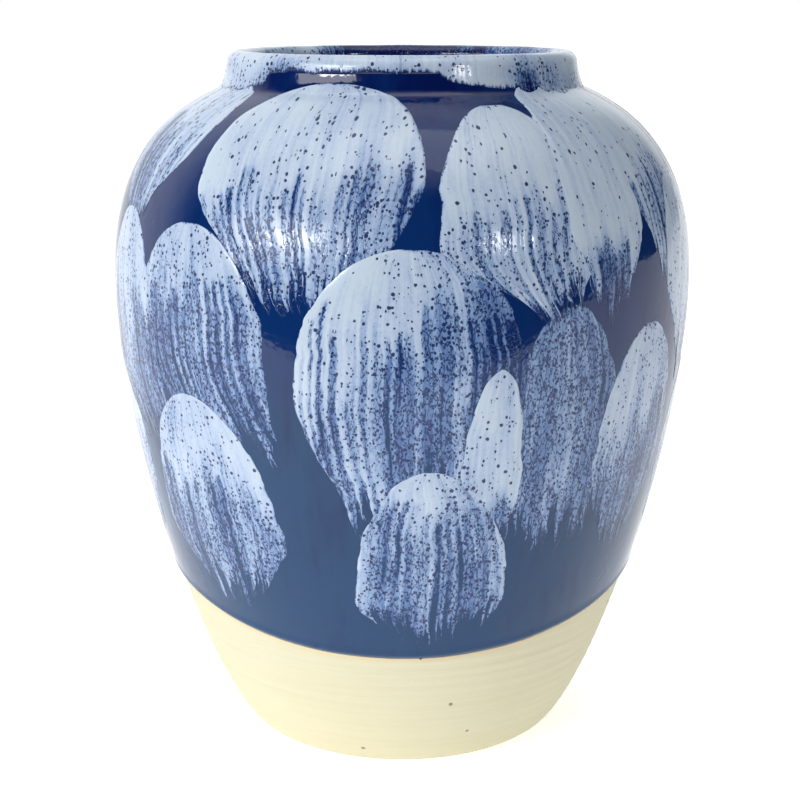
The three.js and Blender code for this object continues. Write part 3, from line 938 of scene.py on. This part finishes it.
def build_stroke(stroke, seed, under, material):
    """A thin closed sheet that follows the wall and climbs over the strokes under it."""
    u, x, y, half_width, reach = stroke_outline(stroke, seed)
    height = np.clip(stroke.top - y, 1, LIP_TOP)
    azimuth = stroke.azimuth + np.arcsin(np.clip(x / wall_radius(height), -0.98, 0.98))
    stack = sum((other.covers(azimuth, height) for other in under), np.zeros(y.shape))
    thickness, flow, hold, border = stroke_thickness(
        stroke, seed, u, x, y, half_width, reach, stack
    )
    relief = 0.03 + 0.12 * thickness * hold
    soft = np.sqrt(np.clip(border / (1.3 + 1.5 * np.clip(stack, 0, 1)), 0, 1))
    rise = blend(-0.06, blend(-0.12, relief, soft), step(0.0, 0.30, hold))
    top = on_wall(azimuth, height, COAT + LAYER_RISE * stack + rise)
    bottom = on_wall(azimuth, height, COAT - STROKE_SUNK)

    count = y.size
    grid = np.arange(count).reshape(y.shape)
    loop = np.concatenate([grid[0, :-1], grid[:-1, -1], grid[-1, :0:-1], grid[:0:-1, 0]])
    after = np.roll(loop, -1)
    walls = np.stack([loop, after, after + count, loop + count], axis=1)
    sheet = grid_faces(*y.shape)
    faces = np.concatenate([sheet[:, ::-1], sheet + count, walls])
    points = np.concatenate([top.reshape(-1, 3), bottom.reshape(-1, 3)])
    brush = np.stack([x, y, np.full(x.shape, seed * BRUSH_SHIFT)], axis=-1).reshape(-1, 3)
    make_mesh(
        "brushed_" + stroke.name, points, faces, stroke.name, material,
        {
            "glaze": np.tile(thickness.ravel(), 2),
            "flow": np.tile(flow.ravel(), 2),
            "hold": np.tile(hold.ravel(), 2),
            "brush": np.concatenate([brush, brush]),
        },
    )


# Lowest layer first, as they were brushed.
FRONT_STROKES = [
    Stroke("stroke_left_edge_low", -76, 76, 62, 16, 16, 8, 3, 0.45, streaks=0.5),
    Stroke("stroke_right_edge_low", 80, 82, 55, 16, 14, 8, -2, 0.45, streaks=0.6),
    Stroke(
        "stroke_right_dull", 31, 58, 70, 15, 17, 13, 0, 0.45,
        white=-0.34, streaks=0.5, onset=-0.1, thin_from=0.75, thin=0.12,
    ),
    Stroke("stroke_right_neck", 60, 4.5, 57, 15, 17, 6, 0, 0.42, white=0.05, onset=0.42),
    Stroke(
        "stroke_upper_right", 24, 12.5, 52, 23.5, 20, 7, 6, 0.60,
        white=0.08, streaks=0.55, onset=0.40, thin_from=0.68,
    ),
    Stroke(
        "stroke_right_tongue", 41, 6.5, 60, 13, 13, 8, 1, 0.55,
        white=0.10, streaks=0.9, onset=0.62, thin_from=0.52, thin=0.20,
    ),
    Stroke(
        "stroke_right_edge_high", 72, 30, 62, 18, 15, 7, 0, 0.4,
        white=0.02, streaks=0.4, onset=0.45,
    ),
    Stroke("stroke_left_neck", -66, 5, 41, 18, 20, 8, 3, 0.4, onset=0.35),
    Stroke(
        "stroke_left_inner", -43, 40, 66, 20, 25, 12, 14, 0.45,
        white=-0.10, slant=0.06, streaks=0.85, onset=0.24,
    ),
    Stroke(
        "stroke_left_outer", -66, 39, 66, 15, 20, 8, 12, 0.55,
        white=-0.04, streaks=0.6, onset=0.3,
    ),
    Stroke(
        "stroke_upper_left", -20, 7, 56, 28.5, 29.5, 14, 4, 0.4,
        white=0.02, slant=-0.11, streaks=1.15, onset=0.38, thin_from=0.8, thin=0.1,
    ),
    Stroke(
        "stroke_right_low", 53, 66, 65, 17.5, 17, 9, -2, 0.5,
        white=-0.12, slant=-0.06, streaks=0.6, onset=0.34,
    ),
    Stroke(
        "stroke_centre", 1, 43.5, 84, 27.5, 29.5, 15, 2, 0.38,
        white=-0.02, slant=-0.24, streaks=1.3, onset=0.17,
    ),
    Stroke(
        "stroke_centre_wedge", 18, 72.5, 50, 9.5, 6.5, 6, -1, 0.55,
        white=-0.09, streaks=0.15, onset=0.7, thin_from=0.66, thin=0.18,
    ),
    Stroke(
        "stroke_left_low", -44, 83, 61, 20, 24.5, 11, 5, 0.6,
        white=-0.10, streaks=0.9, onset=0.36,
    ),
    Stroke(
        "stroke_centre_low", 5, 98, 53, 18, 21, 13, 1, 0.66,
        white=-0.05, streaks=0.9, onset=0.16,
    ),
]

# Row, first azimuth, drop, length, half width, widest.
BACK_ROWS = [
    ("high", 100, 9, 54, 27, 0.38),
    ("middle", 117, 46, 68, 25, 0.42),
    ("low", 109, 84, 52, 20, 0.50),
]
BACK_STEP = 36  # degrees from one petal to the next
BACK_COUNT = 5
BACK_TAIL = 11


def back_strokes():
    """The three rows of petals on the back, as the CAD part sets them out."""
    strokes = []
    for row, first, drop, length, half, widest in BACK_ROWS:
        for i in range(BACK_COUNT):
            sway = math.sin(1.7 * i + drop)
            turn = math.sin(2.9 * i + 0.7 * drop)
            strokes.append(
                Stroke(
                    f"stroke_back_{row}_{i + 1}",
                    first + BACK_STEP * i + 3 * sway,
                    drop + 2.5 * sway,
                    length - 4 * sway,
                    half + sway,
                    half - sway,
                    BACK_TAIL,
                    5 * math.sin(2.3 * i + drop),
                    widest,
                    white=-0.06 + 0.06 * turn,
                    slant=0.12 * math.sin(4.1 * i + drop),
                    streaks=0.75 + 0.25 * turn,
                    onset=0.25 - 0.08 * turn,
                )
            )
    return strokes


def build_strokes(material):
    strokes = back_strokes() + FRONT_STROKES
    for i, stroke in enumerate(strokes):
        build_stroke(stroke, i + 1, strokes[:i], material)


# ---------------------------------------------------------------- stage, lights, camera


# Metres, degrees and watts.
FLOOR_FRONT, FLOOR_BACK, FLOOR_HALF = -0.36, 8, 6
FLOOR_GLOW = 0.55
# Ways in which the room grows bright: a direction, how far a place lies along it where the
# brightness starts and ends to grow, and the greatest brightness.
ROOM_BEHIND = ((-0.42, 0.91, 0.0), 0.42, 0.75, 1.15)
ROOM_ABOVE = ((0.0, 0.0, 1.0), 0.70, 0.90, 1.0)
ROOM_DARK = 0.03
ROOM_COLOUR = (0.97, 0.99, 1.0, 1.0)
WHITE = (1.0, 1.0, 1.0, 1.0)
# Softboxes: name, azimuth, elevation, distance, width and height, power.
LIGHTS = [
    ("window_left", -50, 18, 1.3, (0.90, 0.46), 7.6),
    ("lamp_left", -42, 19, 1.2, (0.42, 0.08), 3),
    ("window_right", 38, 18, 1.5, (0.12, 0.11), 2.4),
    ("top_softbox", 0, 80, 1.4, (1.2, 0.9), 4),
]
LIGHT_AIM = 0.12  # height that the softboxes face
CAMERA_PLACE = (0, -0.460, 0.2041)
CAMERA_DOWN = 13.77
CAMERA_LENS, CAMERA_SENSOR = 74.2, 36
CAMERA_SHIFT = -0.0024
CAMERA_CLIP = 0.01, 50


def make_floor():
    """A pale table top that ends a little way in front of the vase."""
    front = [(-FLOOR_HALF, FLOOR_FRONT, 0), (FLOOR_HALF, FLOOR_FRONT, 0)]
    back = [(FLOOR_HALF, FLOOR_BACK, 0), (-FLOOR_HALF, FLOOR_BACK, 0)]
    mesh = bpy.data.meshes.new("floor")
    mesh.from_pydata(front + back, [], [(0, 1, 2, 3)])
    floor = bpy.data.objects.new("floor", mesh)
    bpy.context.scene.collection.objects.link(floor)
    shader = Shader("pale_floor")
    place = shader.millimetres()
    tone = shader.noise(place, 0.02, 3.0)
    colour = shader.mix(tone, (0.93, 0.93, 0.93), (0.96, 0.96, 0.955))
    mesh.materials.append(
        shader.finish(
            colour, 0.7, shader.noise(place, 0.8), 0.02,
            Emission_Color=WHITE, Emission_Strength=FLOOR_GLOW,
        )
    )


def make_world():
    """Pale surroundings behind and overhead, dark in front of the vase and to its right."""
    world = bpy.data.worlds.new("studio")
    bpy.context.scene.world = world
    nodes = Nodes(world)
    place = nodes.node("ShaderNodeTexCoord")

    def brightness(direction, low, high, most):
        along = nodes.node(
            "ShaderNodeVectorMath", {"operation": "DOT_PRODUCT"}, out=1,
            **{"0": place, "1": direction},
        )
        return nodes.ramp(along, low, high, ROOM_DARK, most)

    brighter = nodes.math("MAXIMUM", brightness(*ROOM_BEHIND), brightness(*ROOM_ABOVE))
    room = nodes.node("ShaderNodeBackground", Color=ROOM_COLOUR, Strength=brighter)
    backdrop = nodes.node("ShaderNodeBackground", Color=WHITE)
    seen = nodes.node("ShaderNodeLightPath")
    surface = nodes.node("ShaderNodeMixShader", **{"0": seen, "1": room, "2": backdrop})
    nodes.node("ShaderNodeOutputWorld", out=None, Surface=surface)


def make_light(name, azimuth, elevation, distance, size, power):
    """A rectangular softbox facing the vase, seen from its middle at these angles."""
    light = bpy.data.lights.new(name, "AREA")
    light.shape, light.size, light.size_y = "RECTANGLE", *size
    light.energy = power
    lamp = bpy.data.objects.new(name, light)
    bpy.context.scene.collection.objects.link(lamp)
    a, e = math.radians(azimuth), math.radians(elevation)
    away = np.array((math.sin(a) * math.cos(e), -math.cos(a) * math.cos(e), math.sin(e)))
    lamp.location = distance * away + (0, 0, LIGHT_AIM)
    lamp.rotation_euler = (math.pi / 2 - e, 0, a)


def make_camera():
    """The photograph's viewing angle and framing."""
    camera = bpy.data.cameras.new("camera")
    camera.lens, camera.sensor_width = CAMERA_LENS, CAMERA_SENSOR
    camera.shift_x = CAMERA_SHIFT
    camera.clip_start, camera.clip_end = CAMERA_CLIP
    holder = bpy.data.objects.new("camera", camera)
    holder.location = CAMERA_PLACE
    holder.rotation_euler = (math.radians(90 - CAMERA_DOWN), 0, 0)
    bpy.context.scene.collection.objects.link(holder)
    bpy.context.scene.camera = holder


make_camera()
make_world()
make_floor()
for softbox in LIGHTS:
    make_light(*softbox)
bpy.context.scene.view_settings.view_transform = "Standard"

white = brushed_material("white_glaze")
build_clay(clay_material())
build_coat(cobalt_material())
build_liner(liner_material())
build_lip(white)
build_strokes(white)
